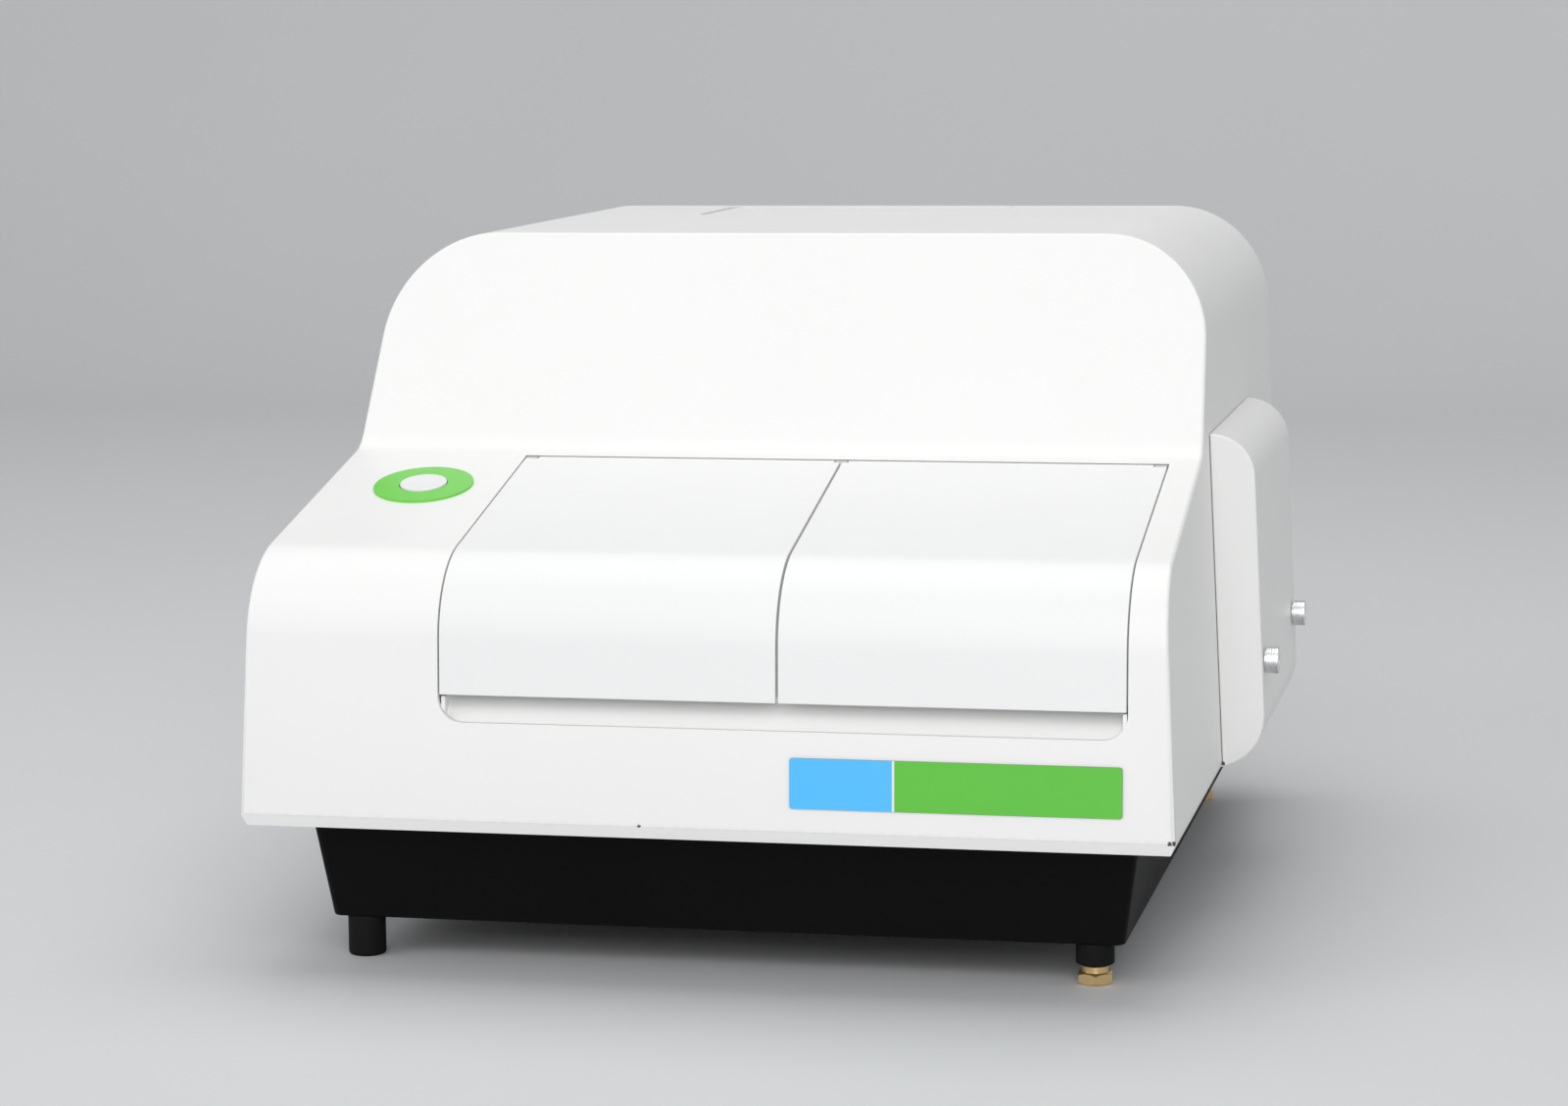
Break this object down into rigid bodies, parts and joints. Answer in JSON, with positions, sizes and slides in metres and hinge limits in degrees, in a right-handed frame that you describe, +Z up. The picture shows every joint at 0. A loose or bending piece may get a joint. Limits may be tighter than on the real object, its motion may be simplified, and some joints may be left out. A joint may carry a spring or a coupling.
{
  "type": "microplate reader",
  "caption": "Bench microplate reader: white stepped cover, twin lift-up doors over a finger scoop, round load button, side filter box, black base on levelling feet, plate transports inside.",
  "frame": {"origin": "centre of the assembly's footprint on the bench, at the feet's undersides", "axes": "+X to the reader's right seen from its front, +Y from the doors to the rear panel, +Z up"},
  "size_m": [0.4754, 0.5503, 0.3435],
  "materials": {
    "cover_paint": "warm white fine-textured powder paint",
    "door_plastic": "satin white moulding",
    "base_paint": "satin black paint",
    "foot_rubber": "black rubber",
    "brass": "turned brass",
    "bright_steel": "bright zinc-plated steel",
    "nameplate_print": "blue and green printed foil, no lettering",
    "ring_print": "green printed bezel",
    "button_plastic": "white moulding",
    "frame_plastic": "pale grey moulding",
    "black_plastic": "black moulding",
    "aluminium": "plain and anodised aluminium",
    "motor_black": "black enamel",
    "glass": "clear optical glass",
    "supply_case": "pierced steel case",
    "board_green": "green circuit board"
  },
  "bodies": {
    "housing": {"cover_shell": "cover_paint", "top_lid": "cover_paint", "nameplate": "nameplate_print", "load_ring": "ring_print", "button_guide": "black_plastic", "button_switch": "black_plastic", "finger_scoop": "cover_paint", "door_frame": "frame_plastic", "hinge_pin": "bright_steel", "chassis_plate": "aluminium", "base_pan": "base_paint", "feet": "foot_rubber", "deck_plate": "aluminium", "deck_posts": "aluminium", "carrier_rails": "bright_steel", "screw_bearings": "aluminium", "stepper_motors": "motor_black", "gantry_walls": "aluminium", "gantry_beam": "aluminium", "side_cover": "cover_paint", "optics_block": "aluminium", "wheel_motors": "motor_black", "flash_lamp": "motor_black", "photomultiplier": "motor_black", "syringe_pump": "aluminium", "syringe_barrel": "glass", "power_supply": "supply_case", "main_board": "board_green", "rear_panel": "aluminium", "fan_frame": "black_plastic", "fan_guard": "bright_steel", "mains_inlet": "black_plastic", "data_ports": "black_plastic", "panel_screws": "bright_steel"},
    "left_door": {"left_door": "door_plastic"},
    "right_door": {"right_door": "door_plastic"},
    "left_carrier": {"left_carrier": "aluminium"},
    "right_carrier": {"right_carrier": "aluminium"},
    "left_lead_screw": {"left_lead_screw": "bright_steel"},
    "right_lead_screw": {"right_lead_screw": "bright_steel"},
    "pipettor_carriage": {"pipettor_carriage": "aluminium"},
    "needle_holder": {"needle_holder": "bright_steel", "needle": "bright_steel"},
    "pipettor_lead_screw": {"pipettor_lead_screw": "bright_steel"},
    "measuring_head": {"measuring_head": "motor_black", "objective_lens": "glass"},
    "head_lead_screw": {"head_lead_screw": "bright_steel"},
    "excitation_wheel": {"excitation_wheel": "aluminium", "excitation_filters": "glass"},
    "emission_wheel": {"emission_wheel": "aluminium", "emission_filters": "glass"},
    "syringe_plunger": {"syringe_plunger": "bright_steel"},
    "load_button": {"load_button": "button_plastic"},
    "thumb_screw_front": {"thumb_screw_front": "bright_steel"},
    "thumb_screw_rear": {"thumb_screw_rear": "bright_steel"},
    "levelling_screw_front": {"levelling_screw_front": "brass"},
    "levelling_screw_rear": {"levelling_screw_rear": "brass"},
    "fan_rotor": {"fan_rotor": "black_plastic"},
    "power_rocker": {"power_rocker": "black_plastic"}
  },
  "joints": [
    {"name": "left_plate_slide", "type": "slide", "parent": "housing", "child": "left_carrier", "axis": [0, -1, 0], "range_m": [0, 0.25]},
    {"name": "right_plate_slide", "type": "slide", "parent": "housing", "child": "right_carrier", "axis": [0, -1, 0], "range_m": [0, 0.25]},
    {"name": "left_door_hinge", "type": "hinge", "parent": "housing", "child": "left_door", "pos_m": [-0.0566, -0.11333, 0.23152], "axis": [-1, 0, 0], "range_deg": [0, 60]},
    {"name": "right_door_hinge", "type": "hinge", "parent": "housing", "child": "right_door", "pos_m": [0.1061, -0.11333, 0.23152], "axis": [-1, 0, 0], "range_deg": [0, 60]},
    {"name": "left_screw_turn", "type": "hinge", "parent": "housing", "child": "left_lead_screw", "pos_m": [-0.06095, 0, 0.1355], "axis": [0, -1, 0], "range_deg": [0, 4500]},
    {"name": "right_screw_turn", "type": "hinge", "parent": "housing", "child": "right_lead_screw", "pos_m": [0.11045, 0, 0.1355], "axis": [0, -1, 0], "range_deg": [0, 4500]},
    {"name": "pipettor_slide", "type": "slide", "parent": "housing", "child": "pipettor_carriage", "axis": [1, 0, 0], "range_m": [-0.05, 0.2]},
    {"name": "needle_lift", "type": "slide", "parent": "pipettor_carriage", "child": "needle_holder", "axis": [0, 0, 1], "range_m": [-0.01, 0]},
    {"name": "pipettor_screw_turn", "type": "hinge", "parent": "housing", "child": "pipettor_lead_screw", "pos_m": [-0.01365, -0.015, 0.263], "axis": [1, 0, 0], "range_deg": [-900, 3600]},
    {"name": "head_slide", "type": "slide", "parent": "housing", "child": "measuring_head", "axis": [1, 0, 0], "range_m": [-0.045, 0.045]},
    {"name": "head_screw_turn", "type": "hinge", "parent": "housing", "child": "head_lead_screw", "pos_m": [-0.01365, 0.036, 0.263], "axis": [1, 0, 0], "range_deg": [-810, 810]},
    {"name": "excitation_wheel_turn", "type": "hinge", "parent": "housing", "child": "excitation_wheel", "pos_m": [0.21935, -0.02, 0.165], "axis": [1, 0, 0], "continuous": true},
    {"name": "emission_wheel_turn", "type": "hinge", "parent": "housing", "child": "emission_wheel", "pos_m": [0.21935, 0.068, 0.165], "axis": [1, 0, 0], "continuous": true},
    {"name": "syringe_stroke", "type": "slide", "parent": "housing", "child": "syringe_plunger", "axis": [0, 0, 1], "range_m": [-0.04, 0]},
    {"name": "load_button_press", "type": "slide", "parent": "housing", "child": "load_button", "axis": [0, 0.2295, -0.9733], "range_m": [0, 0.0015], "stiffness_N_per_m": 400, "springref_m": -0.002},
    {"name": "thumb_screw_front_turn", "type": "hinge", "parent": "housing", "child": "thumb_screw_front", "pos_m": [0.23035, -0.057, 0.13], "axis": [1, 0, 0], "continuous": true},
    {"name": "thumb_screw_rear_turn", "type": "hinge", "parent": "housing", "child": "thumb_screw_rear", "pos_m": [0.23035, 0.104, 0.13], "axis": [1, 0, 0], "continuous": true},
    {"name": "levelling_screw_front_turn", "type": "hinge", "parent": "housing", "child": "levelling_screw_front", "pos_m": [0.16625, -0.2199, 0.005], "axis": [0, 0, 1], "continuous": true},
    {"name": "levelling_screw_rear_turn", "type": "hinge", "parent": "housing", "child": "levelling_screw_rear", "pos_m": [0.16625, 0.232, 0.005], "axis": [0, 0, 1], "continuous": true},
    {"name": "fan_spin", "type": "hinge", "parent": "housing", "child": "fan_rotor", "pos_m": [0.05835, 0.26585, 0.21398], "axis": [0, 0.9991, 0.0435], "continuous": true},
    {"name": "power_rocker_tilt", "type": "hinge", "parent": "housing", "child": "power_rocker", "pos_m": [-0.10565, 0.26635, 0.15645], "axis": [-1, 0, 0], "range_deg": [0, 12]}
  ],
  "couplings": [
    {"joint": "left_door_hinge", "follows": "left_plate_slide", "rad_per_m": 4.1888},
    {"joint": "right_door_hinge", "follows": "right_plate_slide", "rad_per_m": 4.1888},
    {"joint": "left_screw_turn", "follows": "left_plate_slide", "rad_per_m": 314.16},
    {"joint": "right_screw_turn", "follows": "right_plate_slide", "rad_per_m": 314.16},
    {"joint": "pipettor_screw_turn", "follows": "pipettor_slide", "rad_per_m": 314.16},
    {"joint": "head_screw_turn", "follows": "head_slide", "rad_per_m": 314.16}
  ]
}
